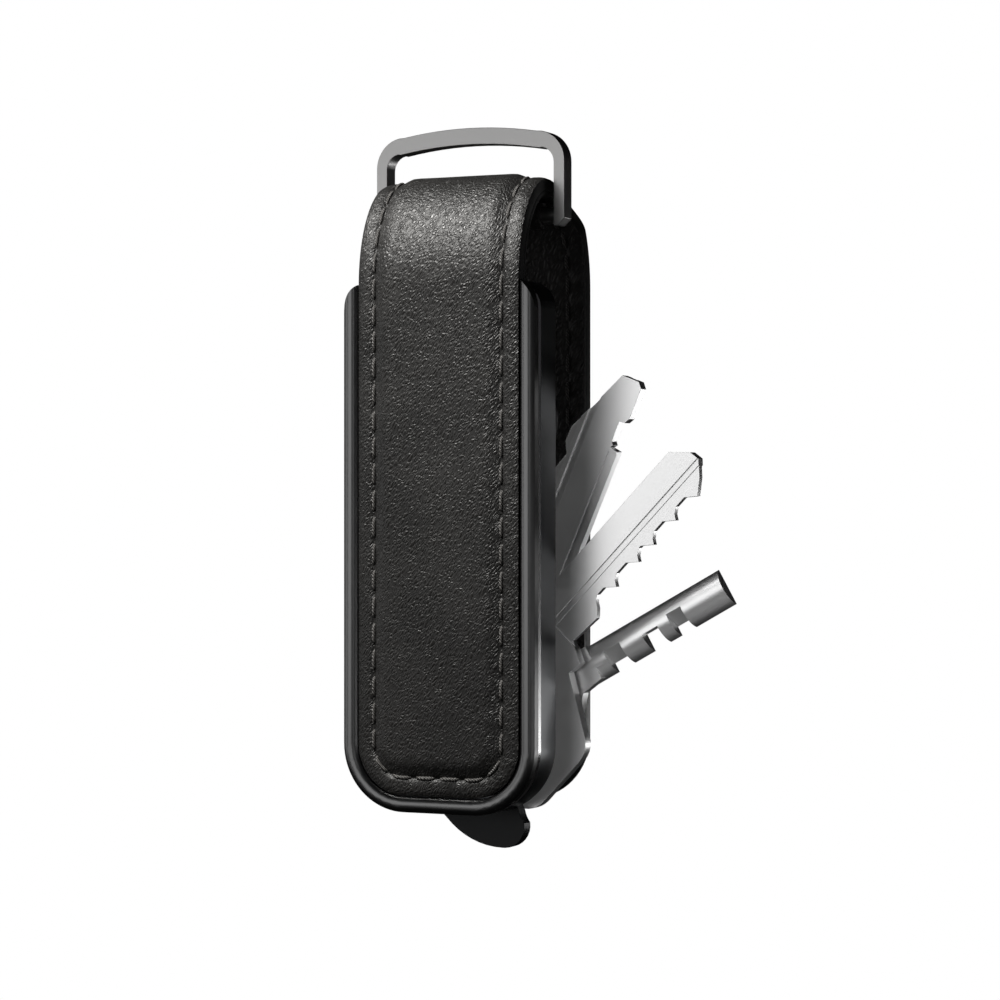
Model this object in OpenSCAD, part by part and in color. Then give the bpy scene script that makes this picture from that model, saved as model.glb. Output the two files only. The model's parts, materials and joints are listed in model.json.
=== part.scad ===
// Pocket key organiser: a leather strap folded over the top, a U-shaped metal
// frame in front, a back panel, and keys that turn on one post between them.
// Millimetres. +X right, +Y to the back, +Z up. The origin is the point that
// hangs on a hook: the middle of the carry loop's top bar, on its underside.

/* [Case] */
// Width over the metal frame
frame_w = 34; // [31:0.5:41]
// Height of the metal frame, from its bottom to the tips of its arms
frame_h = 86; // [78:1:104]
// Whole thickness, front of the bezel to the back panel
case_d = 24; // [23:0.5:29]
// Radius of the frame's bottom corners
corner_r = 10.8; // [8:0.2:11.5]
// Radius of the arm tips' outer corners
tip_r = 5.3; // [3:0.1:6]

/* [Bezel] */
// Width of the crowned band
bezel_w = 2.5; // [1.8:0.1:3.2]
// Depth of the band, front to back
bezel_d = 2.2; // [1.8:0.1:2.4]
// Height of the crown on its front
bezel_crown = 0.7; // [0.3:0.1:0.9]

/* [Tray] */
// Depth of the shell behind the bezel
tray_d = 7.0; // [6.4:0.1:7.6]
// Thickness of its side wall
tray_wall = 2.3; // [1.8:0.1:2.8]
// Thickness of its front web
web_t = 1.2; // [0.8:0.1:1.6]
// Polished chamfer along its front edge
chamfer = 0.6; // [0.3:0.1:0.9]
// Round along its back edge
tray_back_r = 0.5; // [0.3:0.1:0.9]
// Round of the back corner at the top
tray_top_r = 3.4; // [2:0.1:4]
// Thickness of the plate that closes its back
cover_t = 1.3; // [0.8:0.1:1.8]

/* [Strap] */
// Thickness of the outer leather
leather_t = 1.3; // [1:0.1:1.6]
// Thickness of the padding or plate inside
core_t = 0.8; // [0.5:0.1:1.2]
// Thickness of the lining leather
lining_t = 1.0; // [0.8:0.1:1.3]
// Side gap between the strap and the bezel
strap_side_gap = 0.25; // [0.1:0.05:0.5]
// Height of the arch over the frame, outside
arch_h = 16.5; // [14:0.5:19]
// Width of the back panel
back_w = 33.4; // [30:0.2:41]
// Height of the back panel's bottom edge above the frame's bottom
back_low = 0.8; // [0:0.1:3]
// Height above the frame tips where the strap starts to widen
flare_top = 16; // [12:0.5:16]
// Length over which it widens to the back panel
flare_len = 6.5; // [6:0.5:14]
// Length of one stitch
stitch_len = 3.5; // [2.5:0.1:3.8]
// Distance from one stitch to the next
stitch_pitch = 4.3; // [4:0.1:5.5]
// Width of a stitch
thread_w = 0.55; // [0.4:0.05:0.8]
// Distance of the seam from the strap's edge
seam_in = 2.9; // [2:0.1:3.5]

/* [Carry loop] */
// Outer width of the loop
loop_w = 34; // [33:0.5:41]
// Width of its legs
leg_w = 1.9; // [1.5:0.1:2.2]
// Height of its top bar
loop_bar = 2.7; // [2:0.1:3.5]
// Thickness of the loop, front to back
loop_t = 3; // [2.4:0.1:3.6]
// Distance of the loop's plane behind the middle of the case
loop_back = 1.8; // [0:0.1:2.4]
// Height of the loop's pivot above the frame tips
loop_axis = 10.4; // [9:0.2:11.4]
// Distance from the pivot to the underside of the top bar
loop_reach = 12.1; // [10:0.1:15]
// Radius of the round lower bar
bar_r = 1.35; // [1:0.05:1.5]
// Radius of the loop's top corners
loop_r = 5; // [3:0.2:6]

/* [Key post] */
// Height of the post above the frame's bottom
post_z = 12; // [11:0.5:15]
// Radius of the post
post_r = 2.4; // [2:0.1:2.8]
// Radius of the washers
washer_r = 4.6; // [4:0.1:5.5]
// Thickness of a washer between two keys
washer_t = 0.35; // [0.25:0.05:0.5]
// Thickness of the two end washers
end_washer_t = 0.2; // [0.15:0.05:0.3]
// Radius of the screw's shank
screw_r = 1.5; // [1.2:0.1:1.7]
// Radius of the screw's head
head_r = 4.2; // [3.6:0.1:4.8]

/* [Keys] */
// Thickness of the opener
opener_t = 2.4; // [2:0.1:2.6]
// Thickness of the toothed key
toothed_t = 2.2; // [1.8:0.1:2.4]
// Thickness of the half-round key
round_t = 2.8; // [2.4:0.1:3]
// Thickness of the grooved key
grooved_t = 2.2; // [1.8:0.1:2.4]
// Angle that the grooved key is turned out by
grooved_out = 23.2; // [0:0.1:90]
// Angle that the toothed key is turned out by
toothed_out = 43.8; // [0:0.1:90]
// Angle that the half-round key is turned out by
round_out = 60.7; // [0:0.1:90]

/* [Clearances] */
// Radial clearance of what turns on the post
turn_gap = 0.06; // [0.03:0.01:0.1]
// Radial clearance of the loop's bar in its keeper
bar_gap = 0.08; // [0.03:0.01:0.1]
// Gap between fitted pieces of the case
fit_gap = 0.05; // [0.02:0.01:0.1]

/* [Hidden] */

ARC = 12; // straight pieces in a quarter turn of an outline
eps = 0.01;

front_y = -case_d / 2;
back_y = case_d / 2;
bezel_back_y = front_y + bezel_d;
tray_front_y = bezel_back_y + fit_gap;
bay_front_y = tray_front_y + tray_d;
strap_front_y = front_y + 0.2;
strap_t = leather_t + core_t + lining_t + 2 * fit_gap;
core_in = leather_t + fit_gap;
lining_in = core_in + core_t + fit_gap;
bay_back_y = back_y - strap_t;
arch_mid_y = (strap_front_y + back_y) / 2;
arch_a = (back_y - strap_front_y) / 2;
strap_w = frame_w - 2 * bezel_w - 2 * strap_side_gap;
strap_low = bezel_w + strap_side_gap;
inner_r = corner_r - bezel_w - strap_side_gap;
loop_z = frame_h + loop_axis;
hang_z = loop_z + loop_reach;
leg_in = loop_w / 2 - leg_w;
web_back_y = strap_front_y + strap_t + fit_gap + web_t;

// The pieces on the post, front to back, with the same small gap between them all
stack = [end_washer_t, opener_t, washer_t, toothed_t, washer_t, round_t, washer_t,
    grooved_t, end_washer_t];
function sum(v, n) = n == 0 ? 0 : v[n - 1] + sum(v, n - 1);
stack_gap = (bay_back_y - bay_front_y - sum(stack, len(stack))) / (len(stack) + 1);
function stack_y(n) = bay_front_y + sum(stack, n) + (n + 1) * stack_gap;

function arc(c, r, from, to, n = ARC) =
    [for (i = [0:n]) c + r * [cos(from + (to - from) * i / n), sin(from + (to - from) * i / n)]];

// A point of the strap's arch, seen from the side, a depth of inset under its outer face
function arch(t, inset) = [arch_mid_y - (arch_a - inset) * cos(t), frame_h + (arch_h - inset) * sin(t)];
function arch_turn(t) = atan2(arch_h * cos(t), arch_a * sin(t));
function arch_run(inset) = [for (i = [0:2 * ARC]) arch(180 * i / (2 * ARC), inset)];

// Half the strap's width behind the arch, at height z: narrow at the top, then flared
function flare(z) = let (s = min(1, max(0, (frame_h + flare_top - z) / flare_len)))
    strap_w / 2 + (back_w - strap_w) / 2 * s * s * (3 - 2 * s);

// An outline in X and Z is made solid between two depths
module plate(from, to) {
    translate([0, to, 0]) rotate([90, 0, 0]) linear_extrude(to - from) children();
}

// An outline in Y and Z is made solid between two widths
module across(half) {
    translate([-half, 0, 0]) rotate([90, 0, 90]) linear_extrude(2 * half) children();
}

// A disc or tube on the post's line
module on_post(from, to, r) {
    translate([0, to, post_z]) rotate([90, 0, 0]) cylinder(h = to - from, r = r, $fn = 64);
}

module washer(n, t) {
    difference() {
        on_post(stack_y(n), stack_y(n) + t, washer_r);
        on_post(stack_y(n) - 1, stack_y(n) + t + 1, post_r + turn_gap);
    }
}

// Rectangle with one radius at the two bottom corners and another at the two top ones
module pane(w, low, high, r_low, r_high) {
    polygon(concat(
        arc([w / 2 - r_low, low + r_low], r_low, -90, 0),
        arc([w / 2 - r_high, high - r_high], r_high, 0, 90),
        arc([-w / 2 + r_high, high - r_high], r_high, 90, 180),
        arc([-w / 2 + r_low, low + r_low], r_low, 180, 270)));
}

// A band bent into a U, from a section whose x runs outwards and y runs forwards
module u_band(w, h, r, t, y0) {
    translate([0, y0, 0]) rotate([90, 0, 0]) {
        for (side = [0, 1]) mirror([side, 0, 0]) {
            translate([w / 2 - r, r, 0]) rotate([0, 0, -90])
                rotate_extrude(angle = 90, $fn = 96) translate([r - t, 0]) children();
            translate([w / 2 - t, h, 0]) rotate([90, 0, 0]) linear_extrude(h - r) children();
        }
        translate([w / 2 - r, t, 0]) rotate([0, 0, -90]) rotate([90, 0, 0])
            linear_extrude(w - 2 * r) children();
    }
}

// One layer of the folded strap, between two depths under its outer face
module strap_layer(from, to, side_in = 0) {
    w = strap_w - 2 * side_in;
    low = strap_low + side_in;
    run = concat([[strap_front_y + from, 0]], arch_run(from), [[back_y - from, 0]],
        [[back_y - to, 0]], [for (i = [2 * ARC:-1:0]) arch(180 * i / (2 * ARC), to)],
        [[strap_front_y + to, 0]]);
    intersection() {
        across(frame_w) polygon(run);
        union() {
            plate(front_y - 1, 0) pane(w, low, hang_z, inner_r - side_in, 1);
            plate(0, back_y + 1) back_outline(side_in, from);
        }
    }
}

// A layer that lies deeper in the strap is lower on the arch, so it widens lower too
module back_outline(side_in, deep) {
    r = corner_r - side_in;
    steps = [for (i = [0:ARC]) frame_h + flare_top - flare_len * (1 - i / ARC)];
    right = concat(arc([back_w / 2 - corner_r, back_low + corner_r], r, -90, 0),
        [for (z = steps) [flare(z) - side_in, z - deep]], [[strap_w / 2 - side_in, hang_z]]);
    polygon(concat(right, [for (i = [len(right) - 1:-1:0]) [-right[i][0], right[i][1]]]));
}

module strap_leather() {
    color([0.07, 0.068, 0.066]) difference() {
        strap_layer(0, leather_t);
        on_post(bay_back_y, back_y + 1, head_r + fit_gap);
    }
}

module strap_padding() {
    color([0.25, 0.25, 0.25]) difference() {
        strap_layer(core_in, core_in + core_t, 0.6);
        translate([-frame_w, 0, -1]) cube([2 * frame_w, case_d, frame_h]);
    }
}

module strap_lining() {
    color([0.09, 0.085, 0.08]) difference() {
        strap_layer(lining_in, strap_t);
        on_post(bay_back_y - 1, back_y, post_r + fit_gap);
    }
}

module back_plate() {
    color([0.55, 0.55, 0.56]) difference() {
        plate(back_y - core_in - core_t, back_y - core_in)
            pane(back_w - 3, back_low + 1.5, frame_h - 1 - fit_gap, corner_r - 1.5, 2);
        on_post(bay_back_y, back_y, post_r + fit_gap);
    }
}

// One stitch lying flat on a face: length along its own z, thickness along its own y
module stitch() {
    translate([-thread_w / 2, 0, -stitch_len / 2]) cube([thread_w, 0.25, stitch_len]);
}

module front_stitching() {
    seam_x = strap_w / 2 - seam_in;
    low = strap_low + seam_in;
    y = strap_front_y + 0.01;
    rows = floor((frame_h - low - 5) / stitch_pitch);
    bottom = floor((2 * seam_x - 4) / stitch_pitch);
    arches = 7;
    color([0.16, 0.155, 0.15]) {
        for (side = [-1, 1]) {
            for (i = [0:rows]) translate([side * seam_x, y, low + 5 + (i + 0.5) * stitch_pitch]) stitch();
            for (i = [1:arches]) {
                t = 8 + i * 15.5;
                p = arch(t, 0.2);
                translate([side * seam_x, p[0], p[1]]) rotate([arch_turn(t) - 90, 0, 0])
                    translate([0, -0.13, 0]) stitch();
            }
            translate([side * (seam_x - 1.3), y, low + 1.6]) rotate([0, side * 38, 0]) stitch();
        }
        for (i = [0:bottom - 1]) translate([(i + 0.5 - bottom / 2) * stitch_pitch, y, low])
            rotate([0, 90, 0]) stitch();
    }
}

module back_stitching() {
    seam_x = back_w / 2 - seam_in;
    low = back_low + corner_r;
    rows = floor((frame_h - low - 2) / stitch_pitch);
    bottom = floor(2 * (back_w / 2 - corner_r) / stitch_pitch);
    bend = corner_r - seam_in;
    color([0.16, 0.155, 0.15]) translate([0, back_y - 0.26, 0]) {
        for (side = [-1, 1]) {
            for (i = [0:rows]) translate([side * seam_x, 0, low + (i + 0.5) * stitch_pitch]) stitch();
            for (a = [22.5, 67.5])
                translate([side * (back_w / 2 - corner_r + bend * cos(a)), 0, low - bend * sin(a)])
                    rotate([0, side * a, 0]) stitch();
        }
        for (i = [0:bottom - 1]) translate([(i + 0.5 - bottom / 2) * stitch_pitch, 0, back_low + seam_in])
            rotate([0, 90, 0]) stitch();
    }
}

module bezel_section() {
    edge = bezel_d - bezel_crown;
    r = (bezel_w * bezel_w / 4 + bezel_crown * bezel_crown) / (2 * bezel_crown);
    half = asin(bezel_w / 2 / r);
    polygon(concat([[0, 0], [bezel_w, 0]], arc([bezel_w / 2, bezel_d - r], r, 90 - half, 90 + half, 8)));
}

module front_bezel() {
    color([0.33, 0.33, 0.35]) difference() {
        intersection() {
            u_band(frame_w, frame_h, corner_r, bezel_w, bezel_back_y) bezel_section();
            plate(front_y - 1, 0) pane(frame_w, -1, frame_h, corner_r, tip_r);
        }
        screw_holes(0.55);
    }
}

module tray_section() {
    neck = 0.3;
    polygon(concat([[0, 0]],
        arc([tray_wall - tray_back_r, tray_back_r], tray_back_r, -90, 0, 4),
        [[tray_wall, tray_d - neck - chamfer], [tray_wall - chamfer, tray_d - neck],
         [tray_wall - chamfer - neck, tray_d - neck], [tray_wall - chamfer - neck, tray_d], [0, tray_d]]));
}

module front_tray() {
    inner = tray_wall / 2;
    top_wall = 2;
    side = concat([[tray_front_y - 1, -1], [bay_front_y + 1, -1], [bay_front_y + 1, 1]],
        arc([bay_front_y - tray_top_r, frame_h - tray_top_r], tray_top_r, 0, 90),
        [[tray_front_y - 1, frame_h]]);
    color([0.2, 0.2, 0.24]) difference() {
        intersection() {
            union() {
                u_band(frame_w, frame_h, corner_r, tray_wall, bay_front_y) tray_section();
                plate(web_back_y - web_t, web_back_y)
                    pane(frame_w - 2 * inner, inner, frame_h - 1, corner_r - inner, 1);
                plate(web_back_y - web_t, bay_front_y)
                    translate([-frame_w / 2 + inner, frame_h - 1 - top_wall])
                        square([frame_w - 2 * inner, top_wall]);
            }
            across(frame_w) polygon(side);
            plate(front_y, bay_front_y + 1) pane(frame_w, -1, frame_h, corner_r, tip_r);
        }
        screw_holes(0.55);
        for (x = [-1, 1]) for (z = screw_heights())
            at_screw(x, z) cylinder(h = 1.6, r = 1 + fit_gap, $fn = 32);
    }
}

module tray_cover() {
    inner = tray_wall + fit_gap;
    color([0.3, 0.3, 0.32]) difference() {
        plate(bay_front_y - cover_t, bay_front_y)
            pane(frame_w - 2 * inner, inner, frame_h - 3.2, corner_r - inner, 1);
        on_post(bay_front_y - 4, bay_front_y + 1, post_r + fit_gap);
    }
}

function screw_heights() = [corner_r + 4, frame_h - 16];

// The screws come in from the back of the side wall: a head, then a shank into the bezel
module at_screw(side, z) {
    translate([side * (frame_w / 2 - tray_wall / 2), bay_front_y + eps, z]) rotate([90, 0, 0]) children();
}

module screw_holes(r) {
    for (x = [-1, 1]) for (z = screw_heights())
        at_screw(x, z) cylinder(h = tray_d + 1.1, r = r, $fn = 32);
}

module bezel_screws() {
    color([0.6, 0.6, 0.62]) for (x = [-1, 1]) for (z = screw_heights()) at_screw(x, z) difference() {
        union() {
            translate([0, 0, 0.5]) cylinder(h = 1.0, r = 1, $fn = 32);
            translate([0, 0, 1.4]) cylinder(h = tray_d - 0.4, r = 0.5, $fn = 32);
        }
        translate([-0.15, -2, 0]) cube([0.3, 4, 0.8]);
    }
}

module post_barrel() {
    flange_y = bay_front_y - cover_t - fit_gap;
    end_y = back_y - core_in - fit_gap;
    color([0.62, 0.62, 0.6]) difference() {
        union() {
            on_post(flange_y - 1, flange_y, washer_r + 0.4);
            on_post(flange_y - eps, end_y, post_r);
        }
        on_post(stack_y(3), end_y + 1, screw_r + fit_gap);
    }
}

module post_screw() {
    head_y = back_y - core_in + fit_gap;
    color([0.45, 0.45, 0.47]) difference() {
        union() {
            on_post(head_y, back_y - 0.1, head_r);
            on_post(stack_y(3) + 0.5, head_y + eps, screw_r);
        }
        translate([-head_r, back_y - 0.8, post_z - 0.5]) cube([2 * head_r, 1, 1]);
    }
}

module front_washer() { color([0.8, 0.8, 0.78]) washer(0, end_washer_t); }
module opener_washer() { color([0.8, 0.8, 0.78]) washer(2, washer_t); }
module toothed_washer() { color([0.8, 0.8, 0.78]) washer(4, washer_t); }
module round_washer() { color([0.8, 0.8, 0.78]) washer(6, washer_t); }
module back_washer() { color([0.8, 0.8, 0.78]) washer(8, end_washer_t); }

// A flat piece on the post: an outline whose origin is the post, turned out by an angle
module on_post_turned(n, t, out) {
    translate([0, 0, post_z]) rotate([0, out, 0]) difference() {
        translate([0, stack_y(n), 0]) children();
        translate([0, stack_y(n) - 1, 0]) rotate([-90, 0, 0])
            cylinder(h = t + 2, r = post_r + turn_gap, $fn = 64);
    }
}

// The opener: a round head with a crown-cap window, a stem, and the fin that the thumb
// pushes, which stands out below the case
head_up = 51.5;
opener_head_r = 10;
module opener_outline() {
    fin_deep = post_z + 6;
    difference() {
        union() {
            translate([6.1, head_up]) circle(opener_head_r, $fn = 64);
            polygon([[-5, 0], [5.5, 0], [9, 18], [11, head_up - 8], [0, head_up - 7], [-4.5, 20]]);
            circle(6.2, $fn = 48);
            difference() {
                polygon(concat([[-5.5, -4], [-4.8, -11.5]],
                    arc([7.3, -fin_deep + 13.5], 13.5, 222, 270, 8),
                    arc([7.6, -fin_deep + 3.6], 3.6, 272, 368, 8), [[10.1, -11.6], [6, -2]]));
                translate([14.4, -11.2]) circle(4.2, $fn = 48);
            }
        }
        translate([6.1, head_up - 0.5]) circle(5.6, $fn = 48);
    }
}

module flip_opener() {
    color([0.07, 0.07, 0.075]) on_post_turned(1, opener_t, 0) {
        plate(0, opener_t) opener_outline();
        plate(0.7, 1.7) translate([6.1, head_up - 6.4]) square([4.4, 2.6], center = true);
    }
}

// The toothed key: cut teeth down one side of its blade, a tapered tip, a broad bow
tooth_tips = [55.6, 50.3, 44.9, 41.1, 35.5, 30.7];
blade_left = -6.5;
blade_right = 1.8;
cut_deep = 1.5;
module toothed_outline() {
    teeth = [for (i = [0:len(tooth_tips) - 2]) let (a = tooth_tips[i], b = tooth_tips[i + 1])
        each [[blade_right, a], [blade_right - cut_deep, a - 1.7], [blade_right - cut_deep, b + 1.6],
              [blade_right - 0.9, b + 0.6]]];
    polygon(concat(
        [[blade_left, 57.4], [-3.8, 59.9], [-2.2, 60.1], [0, 58]], teeth,
        [[blade_right, tooth_tips[5]], [2.9, 29.5], [2.4, 24], [6, 22.2], [5.6, 19.8], [6.9, 19],
         [10.4, 16.9]],
        arc([12.6, 10.7], 4.2, 62, 0, 5), arc([12.7, 1.6], 4.2, 0, -62, 6),
        arc([0, 2.5], 12.4, -64, -172, 10), [[-12, 6], [-10.2, 11], [-7.6, 15], [blade_left, 20]]));
}

module toothed_key() {
    color([0.8, 0.8, 0.79]) on_post_turned(3, toothed_t, toothed_out) difference() {
        plate(0, toothed_t) toothed_outline();
        // the thinner half behind the teeth, with a groove, on both faces
        for (y = [-1, toothed_t - 0.45]) translate([-1.4, y, 23.5]) cube([9, y < 0 ? 1.45 : 1.5, 40]);
        translate([-2.3, -1, 21]) cube([0.9, 1.3, 42]);
    }
}

// The half-round key: a bar with a flat back and square notches, on a plain bow
bar_half = 3.1;
bar_deep = 2.6;
module half_round_key() {
    r = (bar_half * bar_half + bar_deep * bar_deep) / (2 * bar_deep);
    tip = 49.5;
    bar_low = 22;
    bar_mid = -0.28;
    color([0.78, 0.78, 0.78]) on_post_turned(5, round_t, round_out) {
        plate(0.3, round_t - 0.3) polygon(concat(
            [[-3.6, 20], [-3.2, 24], [2.6, 24], [3.2, 20], [5.6, 18]],
            arc([2, 4], 10.6, 42, -62, 8), arc([-2, 4], 10.6, 242, 138, 8), [[-5.6, 18]]));
        difference() {
            intersection() {
                translate([bar_mid, round_t - bar_deep + r, bar_low])
                    cylinder(h = tip - bar_low, r = r, $fn = 96);
                translate([-5, round_t - bar_deep, bar_low]) cube([10, bar_deep, tip]);
            }
            // slanting cuts near the middle of the bar's front, and one straight deep cut
            for (z = [26.4, 38.9]) translate([-1.1, round_t - bar_deep + 0.1, z]) rotate([0, 0, 47])
                translate([0, -6, 0]) cube([8, 6, z < 30 ? 3.2 : 2.8]);
            translate([-0.2, -5, 33.6]) cube([8, 10, 3.1]);
        }
    }
}

// The grooved key: long milled grooves, a notched tip, a round bow
module grooved_outline() {
    polygon(concat(
        [[-0.4, 63.5], [2.7, 63.6], [3.5, 62.7], [3.5, 57.4], [3, 56.5], [2, 56.4], [2.1, 52.9],
         [2.5, 52.4], [2.1, 51.9], [3.6, 51.7], [3.7, 23], [5.5, 20]],
        arc([0, 6], 13, 52, -52, 10), arc([0, 3], 12.6, 308, 215, 8), arc([0, 6], 13, 205, 128, 8),
        [[-5.7, 22], [-5.7, 45], [-4.7, 47.9], [-5.7, 49.7], [-5.6, 52.5], [-3, 57.7]]));
}

module grooved_key() {
    color([0.82, 0.82, 0.81]) on_post_turned(7, grooved_t, grooved_out) difference() {
        plate(0, grooved_t) grooved_outline();
        // the left margin is milled thin, with a raised rib left in it, and the right one
        translate([-7, -1, 24]) cube([2.5, 1.5, 42]);
        translate([-3.7, -1, 24]) cube([1.2, 1.5, 42]);
        translate([2.15, -1, 24]) cube([2, 1.35, 27.2]);
        translate([-7, grooved_t - 0.5, 24]) cube([4.1, 1, 42]);
        translate([0.6, grooved_t - 0.4, 24]) cube([1.05, 1, 42]);
    }
}

module carry_loop() {
    half = loop_w / 2;
    bow = 70;
    top = hang_z + loop_bar;
    side_a = asin((half - loop_r) / bow);
    in_a = asin((leg_in - loop_r / 2) / bow);
    leg_low = loop_z - 1.7;
    inner = concat([[leg_in, loop_z - 9]],
        arc([leg_in - loop_r / 2, hang_z - loop_r / 2 - 1.0], loop_r / 2, 0, 90 - in_a, 6),
        arc([0, hang_z - bow], bow, 90 - in_a, 90 + in_a, 12),
        arc([-leg_in + loop_r / 2, hang_z - loop_r / 2 - 1.0], loop_r / 2, 90 + in_a, 180, 6),
        [[-leg_in, loop_z - 9]]);
    color([0.42, 0.42, 0.42]) {
        plate(loop_back - loop_t / 2, loop_back + loop_t / 2) difference() {
            polygon(concat([[half - 1.2, leg_low], [half, leg_low + 1.2]],
                arc([half - loop_r, top - loop_r - 1.0], loop_r, 0, 90 - side_a),
                arc([0, top - bow], bow, 90 - side_a, 90 + side_a, 12),
                arc([-half + loop_r, top - loop_r - 1.0], loop_r, 90 + side_a, 180),
                [[-half, leg_low + 1.2], [-half + 1.2, leg_low]]));
            polygon(inner);
        }
        translate([-leg_in - 0.5, loop_back, loop_z]) rotate([0, 90, 0])
            cylinder(h = 2 * leg_in + 1, r = bar_r, $fn = 48);
    }
}

module loop_keeper() {
    half = strap_w / 2 - 1.5;
    tube_r = bar_r + 0.8;
    web_half = 1.2;
    inner_a = arch_a - strap_t;
    // the web ends just under the lining, where the arch is lowest over its width
    web_far = (web_half + loop_back - arch_mid_y) / inner_a;
    under = frame_h + (arch_h - strap_t) * sqrt(1 - web_far * web_far) - fit_gap;
    color([0.1, 0.095, 0.09]) difference() {
        union() {
            translate([-half, loop_back, loop_z]) rotate([0, 90, 0])
                cylinder(h = 2 * half, r = tube_r, $fn = 48);
            translate([-half, loop_back - web_half, loop_z]) cube([2 * half, 2 * web_half, under - loop_z]);
        }
        translate([-half - 1, loop_back, loop_z]) rotate([0, 90, 0])
            cylinder(h = 2 * half + 2, r = bar_r + bar_gap, $fn = 48);
    }
}

module from_hang() { translate([0, -loop_back, -hang_z]) children(); }

from_hang() carry_loop();
from_hang() loop_keeper();
from_hang() strap_leather();
from_hang() strap_padding();
from_hang() strap_lining();
from_hang() back_plate();
from_hang() front_stitching();
from_hang() back_stitching();
from_hang() front_bezel();
from_hang() front_tray();
from_hang() tray_cover();
from_hang() bezel_screws();
from_hang() post_barrel();
from_hang() post_screw();
from_hang() front_washer();
from_hang() opener_washer();
from_hang() toothed_washer();
from_hang() round_washer();
from_hang() back_washer();
from_hang() flip_opener();
from_hang() toothed_key();
from_hang() half_round_key();
from_hang() grooved_key();
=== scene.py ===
# %% [markdown]
# # A pocket key organiser, dressed up piece by piece
#
# The design, with its sizes, screws and hinges, is already made as solid parts. This
# lesson gives those parts their looks: leather that is cut flat, embossed, sewn and
# folded, and metal whose edges are softened the way a tumbling drum softens them.
# It starts by loading the solid parts as a fixed frame. Nothing in it is ever moved,
# so whatever is made here is made straight in its place.

# %% Load the frame
import bisect
import json
import math

import bmesh
import bpy
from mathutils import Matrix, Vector, noise
from mathutils.kdtree import KDTree

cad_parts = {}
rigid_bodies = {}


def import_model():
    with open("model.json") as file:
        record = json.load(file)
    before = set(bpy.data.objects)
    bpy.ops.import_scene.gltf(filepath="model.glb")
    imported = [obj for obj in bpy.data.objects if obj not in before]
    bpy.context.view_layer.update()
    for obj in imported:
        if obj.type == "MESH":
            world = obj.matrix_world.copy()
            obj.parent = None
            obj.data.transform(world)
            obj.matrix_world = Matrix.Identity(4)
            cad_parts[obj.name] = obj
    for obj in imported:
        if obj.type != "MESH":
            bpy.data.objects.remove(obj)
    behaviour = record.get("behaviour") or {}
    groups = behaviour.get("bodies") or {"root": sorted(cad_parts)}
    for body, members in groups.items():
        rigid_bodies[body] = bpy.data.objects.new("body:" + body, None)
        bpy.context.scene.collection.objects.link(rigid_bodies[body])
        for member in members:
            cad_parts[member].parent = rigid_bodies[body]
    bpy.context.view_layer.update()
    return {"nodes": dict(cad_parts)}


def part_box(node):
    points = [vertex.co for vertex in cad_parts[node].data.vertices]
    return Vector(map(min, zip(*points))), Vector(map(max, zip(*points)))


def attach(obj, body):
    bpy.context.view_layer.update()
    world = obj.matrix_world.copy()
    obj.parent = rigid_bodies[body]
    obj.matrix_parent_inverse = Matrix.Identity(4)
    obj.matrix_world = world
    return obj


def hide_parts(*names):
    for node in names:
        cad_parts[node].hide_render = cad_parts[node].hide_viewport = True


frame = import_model()

# %% [markdown]
# ## Sizes taken from the frame
# Working in millimetres keeps the numbers readable on such a small thing. The sizes that
# show on the solid parts are measured from them here, once. A few others, such as the
# corners, the flare, the seam's place and the height of the post, are repeated further
# on, and have to be changed together with the design.

# %% Measure the solid parts, in millimetres
MM = 0.001


def box_mm(node):
    low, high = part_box(node)
    return low / MM, high / MM


bezel_low, bezel_high = box_mm("front_bezel")
leather_low, leather_high = box_mm("strap_leather")
lining_high = box_mm("strap_lining")[1]
tray_low, tray_high = box_mm("front_tray")
frame_bottom = bezel_low.z
frame_top = tray_high.z
frame_w = bezel_high.x - bezel_low.x
bezel_w = 2.5
side_gap = 0.25
strap_w = frame_w - 2 * (bezel_w + side_gap)
back_w = leather_high.x - leather_low.x
strap_front = leather_low.y
strap_back = leather_high.y
strap_top = leather_high.z
lining_t = 1.0
strap_t = strap_back - lining_high.y + lining_t
print(f"frame {frame_w:.1f} mm wide, strap {strap_w:.1f} mm, {strap_t:.2f} mm thick")

# %% [markdown]
# ## Camera, floor and light
# The camera stands to the right of the front at the organiser's own height, with a
# long lens, so upright edges stay upright. The floor sweeps up into a wall: a paper
# roll in a studio does the same, and it leaves no line behind the object.

# %% Place the camera
view_turn = math.radians(25)
view_distance = 480
camera_data = bpy.data.cameras.new("camera")
camera_data.lens = 108
camera_data.sensor_width = 36
camera_data.clip_start = 0.01
camera_data.clip_end = 20
camera = bpy.data.objects.new("camera", camera_data)
bpy.context.scene.collection.objects.link(camera)
bpy.context.scene.camera = camera
aim = Vector((9.26, bezel_low.y + 4.37, frame_bottom + 50.3))
away = Vector((math.sin(view_turn), -math.cos(view_turn), 0))
camera.location = (aim + away * view_distance) * MM
camera.rotation_euler = (-away).to_track_quat("-Z", "Y").to_euler()
print("camera at", [round(v, 3) for v in camera.location])

# %% [markdown]
# A paper sweep is one strip that is extruded along the floor, spun through a quarter
# turn and extruded up again. Its shader is plain white to the camera and pale grey to
# everything else. The metal then mirrors soft panels of light and not a glowing room,
# and that contrast is what makes metal look like metal.

# %% Build the paper sweep
FLOOR_DROP = 60
SWEEP_RADIUS = 500
sweep = bmesh.new()
ends = [sweep.verts.new((x, -1500, frame_bottom - FLOOR_DROP)) for x in (-2500, 2500)]
strip = [sweep.edges.new(ends)]


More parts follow.
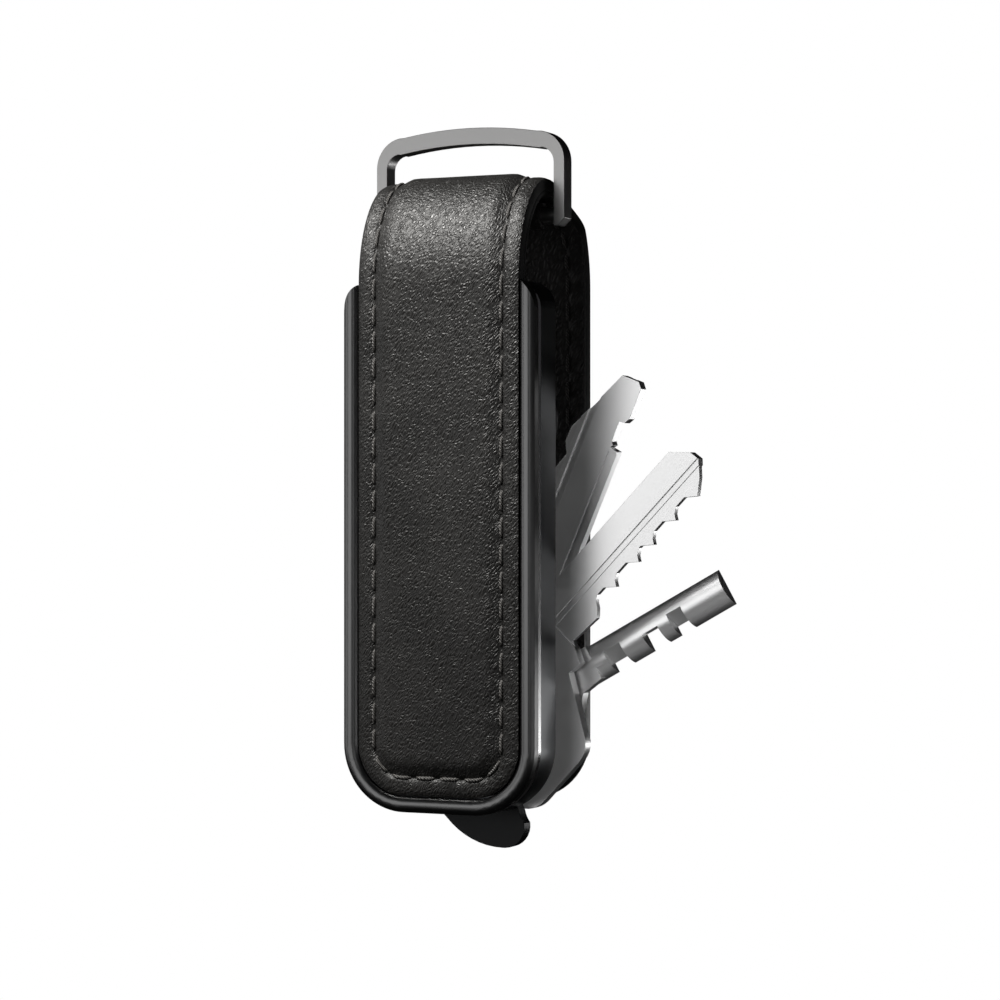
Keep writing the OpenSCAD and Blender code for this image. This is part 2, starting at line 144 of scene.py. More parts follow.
def move_edges(mesh, edges, step):
    made = bmesh.ops.extrude_edge_only(mesh, edges=edges)["geom"]
    points = [g for g in made if isinstance(g, bmesh.types.BMVert)]
    bmesh.ops.translate(mesh, verts=points, vec=step)
    return [g for g in made if isinstance(g, bmesh.types.BMEdge) and all(v in points for v in g.verts)]


strip = move_edges(sweep, strip, Vector((0, 2600, 0)))
turned = bmesh.ops.spin(sweep, geom=strip + list({v for e in strip for v in e.verts}),
                        cent=(0, 1100, frame_bottom - FLOOR_DROP + SWEEP_RADIUS), axis=(1, 0, 0),
                        angle=math.radians(90), steps=24)["geom_last"]
move_edges(sweep, [g for g in turned if isinstance(g, bmesh.types.BMEdge)], Vector((0, 0, 2500)))
for vert in sweep.verts:
    vert.co *= MM
sweep_mesh = bpy.data.meshes.new("paper_sweep")
sweep.to_mesh(sweep_mesh)
sweep.free()
for face in sweep_mesh.polygons:
    face.use_smooth = True
paper = bpy.data.objects.new("paper_sweep", sweep_mesh)
bpy.context.scene.collection.objects.link(paper)
print("paper sweep:", len(sweep_mesh.polygons), "faces")

# %% [markdown]
# ## A short way to write shaders
# A shader is arithmetic on colours and distances. Wiring Math nodes by hand hides the
# sum that they do, so a small class wraps a socket and lets Python's own signs add the
# nodes. One method adds every other kind of node: its settings first, then its inputs.

# %% Wrap sockets so that shader sums read as sums


class Wire:
    """An output socket of a shader tree. A sum with it adds the Math node that does it."""

    def __init__(self, look, socket):
        self.look, self.socket = look, socket

    def _math(self, operation, first, second=0.0):
        return self.look.node("ShaderNodeMath", {"operation": operation}, {0: first, 1: second})

    def __add__(self, other):
        return self._math("ADD", self, other)

    def __sub__(self, other):
        return self._math("SUBTRACT", self, other)

    def __rsub__(self, other):
        return self._math("SUBTRACT", other, self)

    def __mul__(self, other):
        return self._math("MULTIPLY", self, other)

    def __truediv__(self, other):
        return self._math("DIVIDE", self, other)

    def __pow__(self, other):
        return self._math("POWER", self, other)

    __radd__ = __add__
    __rmul__ = __mul__

    def clamped(self):
        return self._math("MAXIMUM", self._math("MINIMUM", self, 1.0), 0.0)

    def ramp(self, low, high, low_to=0.0, high_to=1.0):
        settings = {"interpolation_type": "SMOOTHSTEP", "clamp": True}
        span = {"Value": self, "From Min": low, "From Max": high, "To Min": low_to, "To Max": high_to}
        return self.look.node("ShaderNodeMapRange", settings, span)


print("wires ready")

# %% [markdown]
# ## Materials
# A look holds one material and adds nodes to it. It measures in millimetres, so grain
# and brush marks can be given at the size that they really have.

# %% Build a material from wires


class Look:
    """A material that is built from Wires."""

    def __init__(self, name, **plain):
        self.material = bpy.data.materials.new(name)
        self.material.use_nodes = True
        self.tree = self.material.node_tree
        self.shader = self.tree.nodes["Principled BSDF"]
        for socket, value in plain.items():
            self.shader.inputs[socket.replace("_", " ")].default_value = value

    def node(self, kind, settings=None, inputs=None, output=0):
        made = self.tree.nodes.new(kind)
        for name, value in (settings or {}).items():
            if name == "stops":
                for stop, (place, colour) in zip(made.color_ramp.elements, value):
                    stop.position, stop.color = place, colour
            else:
                setattr(made, name, value)
        for name, value in (inputs or {}).items():
            if isinstance(value, Wire):
                self.tree.links.new(value.socket, made.inputs[name])
            else:
                made.inputs[name].default_value = value
        return Wire(self, made.outputs[output])

    def place(self, stretch=(1, 1, 1), turn=(0, 0, 0)):
        """Object coordinates in millimetres, turned and stretched."""
        seen = self.node("ShaderNodeTexCoord", output="Object")
        turned = self.node("ShaderNodeMapping", {}, {"Vector": seen, "Rotation": turn})
        return self.node("ShaderNodeMapping", {}, {"Vector": turned, "Scale": tuple(s / MM for s in stretch)})

    def noise(self, place, scale, detail=3.0, rough=0.5):
        return self.node("ShaderNodeTexNoise", {}, {"Vector": place, "Scale": scale, "Detail": detail,
                                                    "Roughness": rough})

    def mix(self, mask, dark, light):
        return self.node("ShaderNodeMix", {"data_type": "RGBA"}, {0: mask, 6: dark, 7: light}, output=2)

    def feed(self, **wires):
        for socket, wire in wires.items():
            self.tree.links.new(wire.socket, self.shader.inputs[socket.replace("_", " ")])

    def bump(self, height, depth, strength=1.0):
        """Bumps of that depth in millimetres, from a height of 0 to 1."""
        self.feed(Normal=self.node("ShaderNodeBump", {}, {"Height": height, "Distance": depth * MM,
                                                          "Strength": strength}))


def grey(value, warm=0.0):
    return (value * (1 + warm), value, value * (1 - warm), 1.0)


print("shader helpers ready")

# %% [markdown]
# ## Light
# Polished and satin metal shows nothing but what stands round it, so each light is a
# panel that one set of surfaces is meant to mirror. The front faces see the face
# panel, the sides of the crowned band see the two tall ones, and the shell's side wall
# sees the low one behind it. A strong, small panel up on the left rakes the leather:
# it meets the strap squarely only where the arch leans back, and fades below that.

# %% Light the set
def panel(name, turn, rise, size, brightness, distance=450):
    """A panel that is seen from the organiser at that turn from the front and that rise, in degrees."""
    turn, rise = math.radians(turn), math.radians(rise)
    way = Vector((math.sin(turn) * math.cos(rise), -math.cos(turn) * math.cos(rise), math.sin(rise)))
    data = bpy.data.lights.new(name, "AREA")
    data.shape = "RECTANGLE"
    data.size, data.size_y = size[0] * MM, size[1] * MM
    data.energy = brightness * math.pi * data.size * data.size_y
    made = bpy.data.objects.new(name, data)
    made.location = (aim + way * distance) * MM
    made.rotation_euler = (-way).to_track_quat("-Z", "Y").to_euler()
    bpy.context.scene.collection.objects.link(made)
    return made


leather_panel = panel("leather_panel", -32, 50, (230, 130), 50.0)
leather_panel.data.color = (1.0, 0.985, 0.955)
face_panel = panel("face_panel", -22, 4, (400, 300), 1.25)
keys_panel = panel("keys_panel", -22, 3, (330, 330), 1.35)
keys_low_panel = panel("keys_low_panel", 48, -36, (330, 300), 3.6)
keys_top_panel = panel("keys_top_panel", -50, 48, (330, 300), 2.4)
panel("front_right_panel", 28, 3, (120, 330), 1.0, distance=620)
panel("left_panel", -72, 2, (270, 420), 0.9)
panel("right_panel", 62, -24, (150, 250), 2.4)
panel("low_panel", 150, -21, (340, 200), 3.4)
world = bpy.data.worlds.new("studio")
world.use_nodes = True
world.node_tree.nodes["Background"].inputs["Color"].default_value = (0.02, 0.02, 0.021, 1)
bpy.context.scene.world = world
bpy.context.scene.view_settings.view_transform = "Standard"

white_paper = Look("white_paper")
tree = white_paper.tree
camera_ray = white_paper.node("ShaderNodeLightPath", output="Is Camera Ray")
glow = white_paper.node("ShaderNodeEmission", {}, {"Color": (1, 1, 1, 1), "Strength": 1.0})
dull = white_paper.node("ShaderNodeBsdfDiffuse", {}, {"Color": (0.06, 0.06, 0.06, 1)})
seen = white_paper.node("ShaderNodeMixShader", {}, {0: camera_ray, 1: dull, 2: glow})
tree.links.new(seen.socket, tree.nodes["Material Output"].inputs["Surface"])
paper.data.materials.append(white_paper.material)

# %% [markdown]
# ## Leather
# Chrome-tanned calf is dyed black through and sprayed with a thin satin top coat. Its
# grain is a net of fine creases round small pebbles, and the creases run together on
# a slant where the hide was stretched. Stretched Voronoi cells, pushed about by noise,
# give that net: the distance to a cell's edge is the height. A second, finer noise
# gives the pores. All of it is measured in millimetres on Object coordinates, so the
# grain keeps its size round the arch.

# %% Mix the leathers


def leather(name, shade, crease, gloss, cell):
    look = Look(name, Specular_IOR_Level=0.5)
    slant = look.place(turn=(0, math.radians(-32), 0), stretch=(1.15, 0.9, 0.5))
    drift = look.node("ShaderNodeTexNoise", {}, {"Vector": slant, "Scale": 0.7, "Detail": 2.0},
                      output="Color")
    shift = look.node("ShaderNodeVectorMath", {"operation": "MULTIPLY_ADD"},
                      {0: drift, 1: (1.1,) * 3, 2: slant})
    net = look.node("ShaderNodeTexVoronoi", {"feature": "DISTANCE_TO_EDGE"},
                    {"Vector": shift, "Scale": 1 / cell})
    pebble_and_crease_shade = net.ramp(0.0, 0.34)
    wrinkle = look.noise(shift, 2.2, 3.0, 0.55)
    height = pebble_and_crease_shade * 0.7 + wrinkle * 0.6
    patch = look.noise(look.place(), 0.08, 3.0).ramp(0.35, 0.7)
    dark, light = grey(shade * 0.5, 0.05), grey(shade * 1.3, 0.08)
    # Painted shade: the base colour is darker in the creases and lighter on the pebbles, on top of the bump's
    # own shading; the slow patches are random tone.
    look.feed(Base_Color=look.mix(pebble_and_crease_shade * 0.6 + patch * 0.4, dark, light))
    look.feed(Roughness=(gloss + 0.12 * (1 - pebble_and_crease_shade) + 0.06 * patch).clamped())
    look.bump(height, crease)
    return look.material


outer_leather = leather("black_leather", 0.0075, crease=0.085, gloss=0.37, cell=0.46)
lining_leather = leather("lining_leather", 0.018, crease=0.12, gloss=0.44, cell=0.8)

edge_paint = Look("edge_paint", Base_Color=grey(0.012, 0.03), Roughness=0.38)
edge_paint.bump(edge_paint.noise(edge_paint.place(), 1.6, 3.0), 0.05, 0.6)

thread_look = Look("waxed_thread", Roughness=0.55)
strand_and_sheen = thread_look.node("ShaderNodeTexWave", {"wave_type": "BANDS", "bands_direction": "DIAGONAL"},
                          {"Vector": thread_look.place(), "Scale": 1.1, "Distortion": 1.5})
# Painted sheen: the raised bands of the twist are coloured lighter; the same bands give the strands their
# bump.
thread_look.feed(Base_Color=thread_look.mix(strand_and_sheen, grey(0.020, 0.05), grey(0.085, 0.05)))
thread_look.bump(strand_and_sheen, 0.12, 0.8)
print("leather, edge paint and thread are mixed")

# %% [markdown]
# ## Metals
# The bezel and the loop are steel with a thin grey coat, tumbled to a soft satin. The
# shell is darker. Its chamfer is polished and is coloured far brighter than the shell:
# a painted highlight along the edge. The opener is black. The keys are nickel, and the
# toothed one is brushed along its blade. A fine noise in the roughness stops a surface
# from looking like plastic, and a shallow bump gives the tumbled skin.

# %% Mix the metals


def metal(name, shade, rough, cool=0.0, coarse=0.0, stretch=(1, 1, 1), turn=(0, 0, 0)):
    """Satin metal. Coarse sets how deep its lines are, in millimetres, and stretch which way they run."""
    look = Look(name, Metallic=1.0)
    lines = look.noise(look.place(stretch=stretch, turn=turn), 4.0, 4.0, 0.6)
    cloud = look.noise(look.place(), 0.15, 2.0)
    look.feed(Base_Color=look.mix(cloud, grey(shade * 0.92, -cool), grey(shade * 1.06, -cool)))
    look.feed(Roughness=(rough + 0.12 * (lines - 0.5) + 0.06 * (cloud - 0.5)).clamped())
    look.bump(lines, max(coarse, 0.002), 0.7)
    return look.material


bezel_steel = metal("bezel_steel", 0.15, 0.32, cool=0.0, coarse=0.002)
loop_steel = metal("loop_steel", 0.42, 0.38, cool=-0.008, coarse=0.012)
shell_alloy = metal("shell_alloy", 0.11, 0.32, cool=0.03, coarse=0.002)
# Painted highlight: the chamfer's colour is far brighter than the shell's, where the edge catches the light.
chamfer_steel = metal("chamfer_steel", 0.80, 0.16, coarse=0.002)
cover_alloy = metal("cover_alloy", 0.08, 0.42, cool=0.04, coarse=0.006)
black_steel = metal("black_steel", 0.022, 0.42, cool=0.02, coarse=0.006)
screw_steel = metal("screw_steel", 0.42, 0.30, coarse=0.004)
nickel_cast = metal("nickel_cast", 0.90, 0.36, coarse=0.005)
KEY_SLANT = math.radians(-44)
nickel_brushed = metal("nickel_brushed", 0.80, 0.34, coarse=0.008, stretch=(3.0, 3.0, 0.25),
                       turn=(0, KEY_SLANT, 0))

washer_look = Look("washer_plastic", Roughness=0.5)
washer_look.feed(Base_Color=washer_look.mix(washer_look.noise(washer_look.place(), 0.8), grey(0.62, 0.01),
                                            grey(0.7, 0.01)))
washer_plastic = washer_look.material
print("metals:", [m.name for m in bpy.data.materials])

# %% [markdown]
# ## From a mesh in millimetres to a finished piece
# Each piece is worked on in millimetres and scaled to metres at the very end. Shading
# is smooth across shallow angles and sharp across steep ones, so a rounded edge rolls
# from one face to the next and a flat face stays flat.

# %% One way to finish a piece
SHARP = math.radians(38)


def finish_piece(mesh, name, body, looks, stands_for=(), outward=True, sharp=SHARP):
    if outward:
        bmesh.ops.recalc_face_normals(mesh, faces=mesh.faces)
    bmesh.ops.scale(mesh, vec=(MM, MM, MM), verts=mesh.verts)
    for edge in mesh.edges:
        edge.smooth = len(edge.link_faces) == 2 and edge.calc_face_angle() < sharp
    for face in mesh.faces:
        face.smooth = True
    data = bpy.data.meshes.new(name)
    mesh.to_mesh(data)
    mesh.free()
    for look in looks:
        data.materials.append(look)
    piece = bpy.data.objects.new(name, data)
    bpy.context.scene.collection.objects.link(piece)
    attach(piece, body)
    if stands_for:
        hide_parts(*stands_for)
    print(f"{name}: {len(data.polygons)} faces")
    return piece


# %% [markdown]
# ## Metal parts: break every edge
# No metal edge on a real object is sharp. Stamped and milled parts are tumbled with
# stones until their edges are round enough to carry in a pocket, and that thin round
# is the bright line that tells the eye it is metal. The solid part is copied, its loose
# triangles are merged and its flat faces joined up, and then every steep edge is
# bevelled. The width of the bevel is the only thing that differs from part to part.

# %% Copy a solid part and round its edges


def softened(node, name, body, looks, width, segments=2, steep=28, paint=None):
    mesh = bmesh.new()
    mesh.from_mesh(frame["nodes"][node].data)
    bmesh.ops.scale(mesh, vec=(1 / MM,) * 3, verts=mesh.verts)
    bmesh.ops.remove_doubles(mesh, verts=mesh.verts, dist=0.002)
    bmesh.ops.dissolve_limit(mesh, angle_limit=math.radians(0.8), verts=mesh.verts, edges=mesh.edges)
    bmesh.ops.recalc_face_normals(mesh, faces=mesh.faces)
    sharp = [e for e in mesh.edges if len(e.link_faces) == 2 and e.calc_face_angle() > math.radians(steep)]
    bmesh.ops.bevel(mesh, geom=sharp, offset=width, offset_type="OFFSET", affect="EDGES", segments=segments,
                    profile=0.5, material=-1, clamp_overlap=True)
    if paint:
        paint(mesh)
    piece = finish_piece(mesh, name, body, looks, stands_for=(node,))
    flatten = piece.modifiers.new("flat faces stay flat", "WEIGHTED_NORMAL")
    flatten.keep_sharp = True


def paint_chamfer_highlight(mesh):
    """The shell's slanted front edge gets a painted highlight, a far brighter copy of the shell's metal; the
    step before it keeps the dark one.
    """
    for face in mesh.faces:
        normal = face.normal
        sideways = math.hypot(normal.x, normal.z)
        slanted = 0.3 < -normal.y < 0.9 and sideways > 0.3
        if slanted and face.calc_center_median().y < tray_low.y + 1.1:
            face.material_index = 1


softened("carry_loop", "carry_loop_metal", "carry_loop", [loop_steel], 0.32, 3)
softened("front_bezel", "bezel_band", "case", [bezel_steel], 0.14, 2, steep=40)
softened("front_tray", "front_shell", "case", [shell_alloy, chamfer_steel], 0.10, 2, steep=40,
         paint=paint_chamfer_highlight)
softened("tray_cover", "shell_cover", "case", [cover_alloy], 0.10)
softened("flip_opener", "opener_blade", "opener", [black_steel], 0.30, 3)
softened("toothed_key", "toothed_key_metal", "toothed_key", [nickel_brushed], 0.10, 2)
softened("half_round_key", "half_round_key_metal", "half_round_key", [nickel_cast], 0.10, 2)
softened("grooved_key", "grooved_key_metal", "grooved_key", [nickel_cast], 0.10, 2)
softened("post_screw", "post_screw_head", "case", [screw_steel], 0.15, 2)
softened("loop_keeper", "keeper_tunnel", "case", [lining_leather], 0.20, 2)

# %% [markdown]
# ## Metal and plastic pieces
# Each solid part listed below keeps its own mesh, and its material slots are cleared
# and given the one finish listed beside it.

# %% Give the small solid parts their finish
PLAIN_FINISH = {"post_barrel": screw_steel, "bezel_screws": screw_steel, "back_plate": screw_steel,
                "front_washer": washer_plastic, "opener_washer": washer_plastic,
                "toothed_washer": washer_plastic, "round_washer": washer_plastic,
                "back_washer": washer_plastic}
for node, look in PLAIN_FINISH.items():
    slots = frame["nodes"][node].data.materials
    slots.clear()
    slots.append(look)
print("plain finishes:", sorted(PLAIN_FINISH))

# %% [markdown]
# ## The strap: cut flat, embossed, then folded
# A leather worker cuts the strap flat, presses the seam line and the padded middle
# with a heated plate, sews it, and only then folds it over a form. The mesh is made
# in the same order. It is modelled on a flat pattern, where x runs across the strap, y
# along it from the front's lower edge to the back's, and z up from the grain side.
# One function then folds every point, so the stitches and the lining, which use the
# same pattern, stay where they were sewn.

# %% The path that the strap is folded along
STRAP_LOW = bezel_w + 0.25
ARCH_STEPS = 720
arch_half = (strap_back - strap_front) / 2
arch_mid = (strap_back + strap_front) / 2
arch_rise = strap_top - frame_top
front_run = frame_top - frame_bottom - STRAP_LOW
back_run = frame_top - leather_low.z


def arch_point(turn):
    return Vector((arch_mid - arch_half * math.cos(turn), frame_top + arch_rise * math.sin(turn)))


arch_marks = [0.0]
for i in range(ARCH_STEPS):
    piece = arch_point(math.pi * (i + 1) / ARCH_STEPS) - arch_point(math.pi * i / ARCH_STEPS)
    arch_marks.append(arch_marks[-1] + piece.length)
arch_run = arch_marks[-1]
strap_run = front_run + arch_run + back_run


def along(run):
    """(y, z) of the grain side at a distance along the strap, and the direction out of it."""
    if run <= front_run:
        return Vector((strap_front, frame_top - front_run + run)), Vector((-1, 0))
    if run >= front_run + arch_run:
        return Vector((strap_back, frame_top - (run - front_run - arch_run))), Vector((1, 0))
    mark = run - front_run
    step = bisect.bisect_right(arch_marks, mark) - 1
    part = (mark - arch_marks[step]) / (arch_marks[step + 1] - arch_marks[step])
    turn = math.pi * (step + part) / ARCH_STEPS
    outward = Vector((-math.cos(turn) / arch_half, math.sin(turn) / arch_rise)).normalized()
    return arch_point(turn), outward


def fold(mesh):
    """Every point goes from the flat pattern to its place in space."""
    for vert in mesh.verts:
        place, outward = along(vert.co.y)
        place = place + outward * vert.co.z
        vert.co = Vector((vert.co.x, place.x, place.y))


print(f"the flat strap is {strap_run:.0f} mm long, with {arch_run:.0f} mm of it in the arch")

# %% [markdown]
# ### The pattern's outline
# The outline is a list of stations up the right-hand side: a point, and the direction
# inwards from it. The mesh gets a row of points at each station. Rings that follow the
# outline keep a pressed seam line crisp round the corners, where a plain square grid
# would turn it into a staircase.

# %% Stations up the right-hand side of the pattern
FRONT_CORNER = 8.05
BACK_CORNER = 10.8
FLARE_TOP = 16.0
FLARE_RUN = 6.5
ROW_SPACING = 0.54
SEAM_IN = 2.9


def smooth(value):
    value = min(1.0, max(0.0, value))
    return value * value * (3 - 2 * value)


def half_width(run):
    """Half the strap's width: narrow in front and over the arch, then flared to the back panel."""
    if run < front_run + arch_run / 2:
        return strap_w / 2
    height = along(run)[0].y
    return strap_w / 2 + (back_w - strap_w) / 2 * smooth((frame_top + FLARE_TOP - height) / FLARE_RUN)


def corner(centre, radius, turns):
    made = []
    for turn in turns:
        inward = Vector((-math.sin(turn), math.cos(turn)))
        made.append((Vector(centre) - inward * radius, inward))
    return made


quarter = [math.pi / 2 * i / 16 for i in range(17)]
low, high = FRONT_CORNER, strap_run - BACK_CORNER
row_count = round((high - low) / ROW_SPACING)
side = []
for i in range(1, row_count):
    run = low + (high - low) * i / row_count
    slope = (half_width(run + 0.2) - half_width(run - 0.2)) / 0.4
    side.append((Vector((half_width(run), run)), Vector((-1, slope)).normalized()))
stations = corner((strap_w / 2 - FRONT_CORNER, low), FRONT_CORNER, quarter) + side
stations += corner((back_w / 2 - BACK_CORNER, high), BACK_CORNER, [math.pi / 2 + q for q in quarter])
print("rows in the pattern:", len(stations))

# %% [markdown]
# ### Where the needle goes
# The seam runs 2.9 mm inside the edge, all the way round. Its pitch is adjusted a
# little so that a whole number of stitches fits, as a sewing machine's operator does.

# %% Stitch places on the flat pattern
STITCH_RUN = 3.5
seam_points = [Vector((0, SEAM_IN))] + [p + n * SEAM_IN for p, n in stations]
seam_points.append(Vector((0, strap_run - SEAM_IN)))
seam_marks = [0.0]
for before, after in zip(seam_points, seam_points[1:]):
    seam_marks.append(seam_marks[-1] + (after - before).length)
stitch_count = round(seam_marks[-1] / 4.3)
stitch_pitch = seam_marks[-1] / stitch_count


def seam(mark):
    """A point of the right-hand seam at a distance along it, and the direction along it."""
    step = min(max(bisect.bisect_right(seam_marks, mark) - 1, 0), len(seam_points) - 2)
    span = seam_points[step + 1] - seam_points[step]
    part = (mark - seam_marks[step]) / span.length
    return seam_points[step] + span * part, span.normalized()


stitch_marks = [stitch_pitch * (i + 0.5) for i in range(stitch_count)]
hole_tree = KDTree(4 * stitch_count)
for mark in stitch_marks:
    for end in (-0.5, 0.5):
        spot = seam(mark + end * STITCH_RUN)[0]
        for mirror in (-1, 1):
            hole_tree.insert(Vector((spot.x * mirror, spot.y, 0)), 0)
hole_tree.balance()
print(f"{2 * stitch_count} stitches, {stitch_pitch:.2f} mm apart")

# %% [markdown]
# ### From the pattern to a slab of leather
# The middle is a grid. Its border is extruded outwards ring by ring up to the cut edge,
# so rows of faces run parallel to that edge. The sheet is then extruded for its
# thickness, and both rims are bevelled: a burnished edge is round, never square. Every
# point remembers how far inside the edge it is, and the heights are sums of that.

# %% Lay the middle of a layer as a grid
CENTRE_IN = 6.6
ACROSS = 24


def lay_grid(mesh, inside, edge_point, inward):
    """One row of points at each station, each knowing its nearest place on the edge."""
    last = len(stations) - 1
    bmesh.ops.create_grid(mesh, x_segments=ACROSS, y_segments=last, size=1.0)
    for vert in mesh.verts:
        across, row = vert.co.x, round((vert.co.y + 1) / 2 * last)
        point, normal = stations[row]
        core = point + normal * CENTRE_IN
        vert.co = Vector((core.x * across, core.y, 0))
        vert[inside] = CENTRE_IN + (1 - abs(across)) * core.x
        mirror = math.copysign(1, across)
        if row in (0, last):
            vert[edge_point], vert[inward] = Vector((vert.co.x, point.y, 0)), Vector((0, normal.y, 0))
        else:
            vert[edge_point] = Vector((point.x * mirror, point.y, 0))
            vert[inward] = Vector((normal.x * mirror, normal.y, 0))


print(f"a layer has {len(stations)} rows of {ACROSS + 1} points")

# %% [markdown]
# ### The hole for the screw, and the rings up to the edge
# The hole is opened in the grid, and what is left of the grid's border is then extruded.
# Border edges within the reach of the hole count as its rim. The last row passes about
# 1.08 radii from the centre, so a few of its edges are taken too, which leaves a gap in
# the outer layer under the screw.

# %% Open the hole and grow the rings
RINGS = [5.9, 5.2, 4.6, 4.1, 3.7, 3.4, 3.2, 3.05, 2.9, 2.75, 2.6, 2.4, 2.1, 1.7, 1.3, 0.9, 0.55, 0.0]
POST_UP = 12.0
HOLE_REACH = 1.3
hole_centre = Vector((0, front_run + arch_run + frame_top - frame_bottom - POST_UP, 0))


def open_hole(mesh, radius):
    """Takes the faces out, rounds the rim, and gives back the border that is left."""
    cut = [f for f in mesh.faces if (f.calc_center_median() - hole_centre).length < radius]
    bmesh.ops.delete(mesh, geom=cut, context="FACES")
    border = []
    for edge in mesh.edges:
        if edge.is_boundary:
            if (edge.verts[0].co - hole_centre).length < radius * HOLE_REACH:
                for vert in edge.verts:
                    vert.co = hole_centre + (vert.co - hole_centre).normalized() * radius
            else:
                border.append(edge)
    return border


def grow_rings(mesh, border, inside, edge_point, inward):
    for distance in RINGS:
        made = bmesh.ops.extrude_edge_only(mesh, edges=border)["geom"]
        border = [g for g in made if isinstance(g, bmesh.types.BMEdge) and g.is_boundary]
        for vert in {v for e in border for v in e.verts}:
            vert.co = vert[edge_point] + vert[inward] * distance
            vert[inside] = distance


print(f"{len(RINGS)} rings run from the middle to the edge")

# %% [markdown]
# ### Thickness and rounded rims
# The sheet is extruded once for its thickness. Each side then takes its own height from
# a function of how far inside the edge a point is, and the two rims are bevelled.

# %% Cut and emboss a layer of the strap
OUTER_HOLE = 4.25
LINING_HOLE = 2.5


def cut_layer(face_height, under_height, hole_radius, rounding):
    """A closed slab on the flat pattern. The two functions take how far inside the edge and the place."""
    mesh = bmesh.new()
    inside = mesh.verts.layers.float.new("inside")
    edge_point = mesh.verts.layers.float_vector.new("edge_point")
    inward = mesh.verts.layers.float_vector.new("inward")
    below = mesh.verts.layers.int.new("below")
    lay_grid(mesh, inside, edge_point, inward)
    grow_rings(mesh, open_hole(mesh, hole_radius), inside, edge_point, inward)
    made = bmesh.ops.extrude_face_region(mesh, geom=list(mesh.faces))["geom"]
    for vert in [g for g in made if isinstance(g, bmesh.types.BMVert)]:
        vert[below] = 1
    for vert in mesh.verts:
        height = under_height if vert[below] else face_height
        vert.co.z = height(vert[inside], vert.co)
    bmesh.ops.recalc_face_normals(mesh, faces=mesh.faces)
    for face in mesh.faces:
        face.material_index = int(len({v[below] for v in face.verts}) == 2)
    for level, width in enumerate(rounding):
        corners = [e for e in mesh.edges if all(v[below] == level for v in e.verts)
                   and {f.material_index for f in e.link_faces} == {0, 1}]
        bmesh.ops.bevel(mesh, geom=corners, offset=width, offset_type="OFFSET", affect="EDGES",
                        segments=3, profile=0.5, material=-1, clamp_overlap=True)
    fold(mesh)
    return mesh


print("layers can be cut")

# %% [markdown]
# ### Heights of the two layers
# The outer leather is raised over its padding and pressed in along the seam. Behind, its
# flesh side is skived thinner where the back plate lies. The lining is nearly flat.

# %% Emboss the two layers
def press(distance, place):
    """How deep the hot plate and the thread pull the leather in at a point near the seam."""
    if abs(distance - SEAM_IN) > 1.6:
        return 0.0
    pulled = hole_tree.find(Vector((place.x, place.y, 0)))[2]
    line = math.exp(-((distance - SEAM_IN) / 0.34) ** 2)
    return 0.20 * line + 0.20 * math.exp(-(pulled / 0.5) ** 2)


def uneven(place, size):
    """Leather is never quite flat: a slow, shallow rise and fall."""
    return noise.noise(Vector((place.x, place.y, 3.0)) / size)


def outer_face(distance, place):
    behind = smooth((place.y - front_run - arch_run * 0.7) / 12)
    pad = (0.75 - 0.5 * behind) * smooth((distance - SEAM_IN - 0.25) / 2.4)
    edge = 0.34 * (1 - min(distance / 1.4, 1.0)) ** 2
    return pad - edge - press(distance, place) + 0.05 * uneven(place, 9.0) * smooth(distance / 3)


def outer_under(distance, place):
    """The flesh side is skived thinner behind, where the back plate lies."""
    behind = smooth((place.y - front_run - arch_run) / 0.8)
    return -2.15 + 0.83 * behind * smooth((distance - 0.9) / 0.5)


def lining_face(distance, place):
    return -2.22


def lining_under(distance, place):
    edge = 0.22 * (1 - min(distance / 1.2, 1.0)) ** 2
    return -(strap_t - 0.02) + edge + 0.8 * press(distance, place) + 0.03


outer = finish_piece(cut_layer(outer_face, outer_under, OUTER_HOLE, (0.40, 0.14)), "strap_outer", "case",
                     [outer_leather, edge_paint.material],
                     stands_for=("strap_leather", "strap_padding"))
finish_piece(cut_layer(lining_face, lining_under, LINING_HOLE, (0.12, 0.30)), "strap_inside", "case",
             [lining_leather, edge_paint.material], stands_for=("strap_lining",))
print("the two layers are cut and folded")

# %% [markdown]
# ### Sewing
# A stitch is a short length of twisted cord. It goes down into a hole at each end and
# stands a little above the leather between them, and it stands highest over the arch,
# where folding pulls it straight. Each one starts as a round-ended bar, gets its three
# strands from a ripple that winds round it, and is laid along the seam on the pattern.

# %% Lay the stitches
THREAD_HALF = 0.29


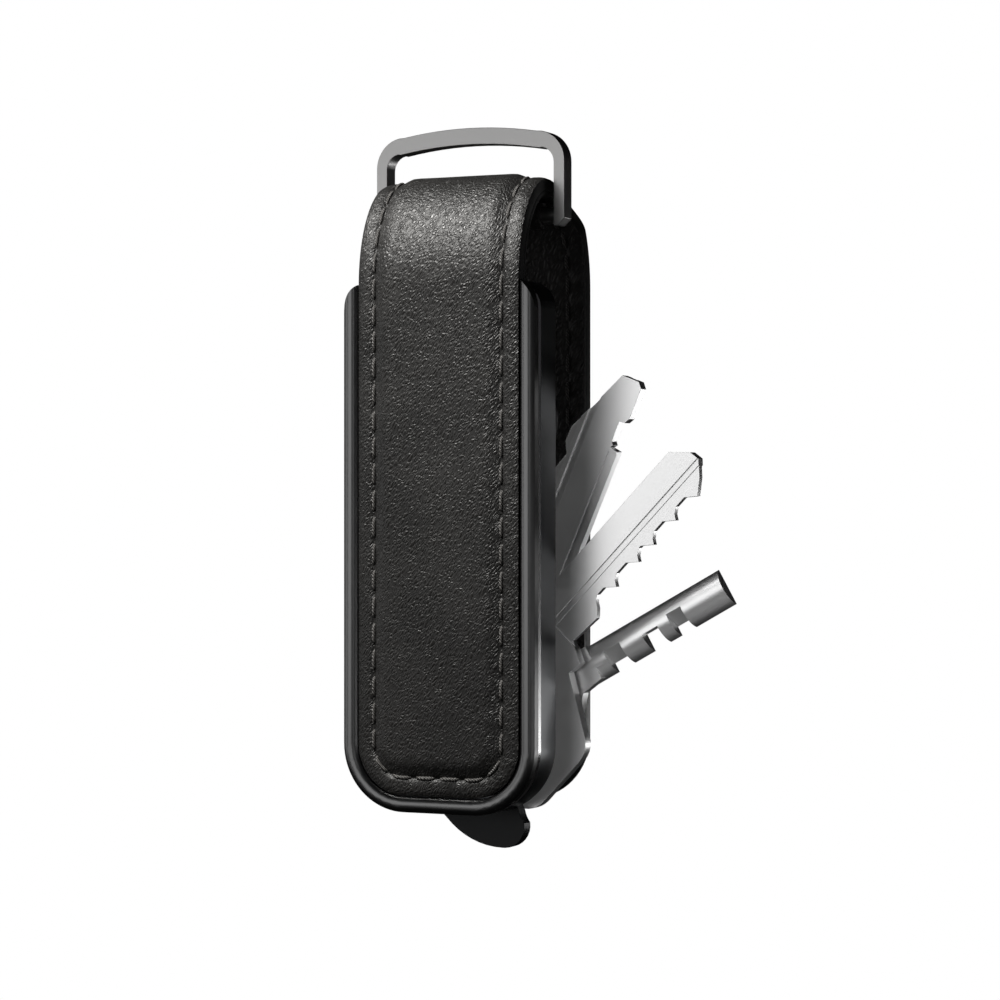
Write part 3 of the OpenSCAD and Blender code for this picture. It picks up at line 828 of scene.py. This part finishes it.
def sew(name, marks, level, facing, stands_for=()):
    mesh = bmesh.new()
    for mark in marks:
        for mirror in (-1, 1):
            made = bmesh.ops.create_uvsphere(mesh, u_segments=12, v_segments=12, radius=1.0)["verts"]
            for vert in made:
                length, turn = vert.co.z, math.atan2(vert.co.y, vert.co.x)
                fat = math.sqrt(max(0.0, 1 - length ** 6)) * (1 + 0.09 * math.cos(3 * turn - 8 * length))
                spot, ahead = seam(mark + length * STITCH_RUN / 2)
                aside = Vector((ahead.y, -ahead.x)) * (math.cos(turn) * fat * THREAD_HALF)
                arched = math.sin(math.pi * smooth((spot.y - front_run + 4) / (arch_run + 8)))
                stand = 0.10 + 0.10 * arched - 0.42 * length ** 4 + math.sin(turn) * fat * 0.24
                up = level + facing * stand
                vert.co = Vector(((spot.x + aside.x) * mirror, spot.y + aside.y, up))
    fold(mesh)
    return finish_piece(mesh, name, "case", [thread_look.material], stands_for=stands_for,
                        sharp=math.radians(60))


arch_end = front_run + arch_run
sew("front_stitches", [m for m in stitch_marks if seam(m)[0].y < arch_end], -0.16, 1,
    ("front_stitching",))
sew("back_stitches", [m for m in stitch_marks if seam(m)[0].y >= arch_end], -0.16, 1,
    ("back_stitching",))
sew("lining_stitches", stitch_marks, -strap_t + 0.16, -1)

# %% [markdown]
# ## Flags
# In a studio, black cards called flags keep a light off the things that it isn't meant
# for. Light linking does that here. The raking panel reaches only the leather and its
# stitches, which would otherwise need so much of it that the metal burnt out. The broad
# face panel is kept off the leather, whose grain it would flatten, and three more
# panels are there for the keys alone. The case stands in front of the keys, so those
# three are also let through it.

# %% Flag the lights
ON_LEATHER = {"strap_outer", "strap_inside", "front_stitches", "back_stitches", "lining_stitches",
              "keeper_tunnel"}
ON_KEYS = {"toothed_key_metal", "half_round_key_metal", "grooved_key_metal"}


def pieces(title, keep):
    """A collection of the pieces that keep says yes to."""
    found = bpy.data.collections.new(title)
    for piece in bpy.data.objects:
        if piece.type == "MESH" and keep(piece.name):
            found.objects.link(piece)
    return found


def flag(light, keep, through_case=False):
    """The light reaches only the pieces that keep says yes to."""
    reached = pieces(light.name + " reaches", keep)
    light.light_linking.receiver_collection = reached
    if through_case:
        light.light_linking.blocker_collection = pieces(light.name + " is stopped by", keep)


flag(leather_panel, lambda name: name in ON_LEATHER)
flag(face_panel, lambda name: name not in ON_LEATHER | ON_KEYS)
for key_light in (keys_panel, keys_low_panel, keys_top_panel):
    flag(key_light, lambda name: name in ON_KEYS, through_case=True)
